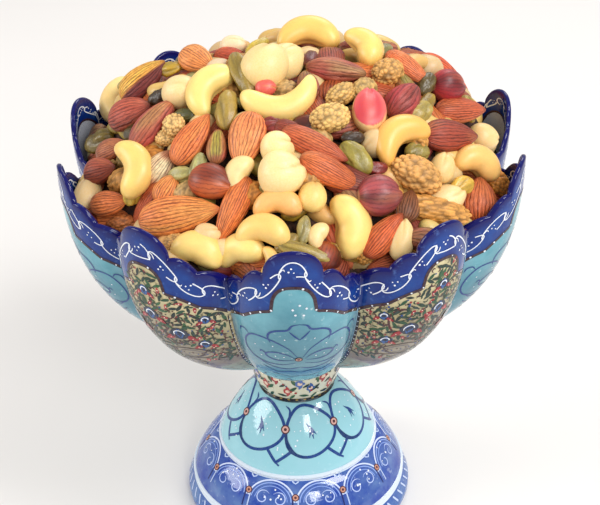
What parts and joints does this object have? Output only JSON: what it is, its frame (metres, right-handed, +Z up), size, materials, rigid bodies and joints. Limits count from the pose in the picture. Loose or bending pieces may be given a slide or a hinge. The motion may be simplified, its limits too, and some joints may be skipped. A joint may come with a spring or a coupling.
{
  "type": "bowl of trail mix",
  "caption": "Footed petal-sided enamel bowl with a scalloped rim, heaped with almonds, cashews, hazelnuts, pistachios, raisins and dried berries.",
  "frame": {"origin": "on the table, under the middle of the foot", "axes": "+Z up along the axis of the turned foot; -Y towards the petal that faces the viewer; +X to the viewer's right"},
  "size_m": [0.1576, 0.1636, 0.1895],
  "materials": {
    "blue_enamel": "gloss",
    "turquoise_enamel": "gloss",
    "roasted_nuts": "satin"
  },
  "bodies": {
    "root": {"bowl": "blue_enamel", "pedestal": "turquoise_enamel", "trail_mix": "roasted_nuts"}
  },
  "joints": []
}
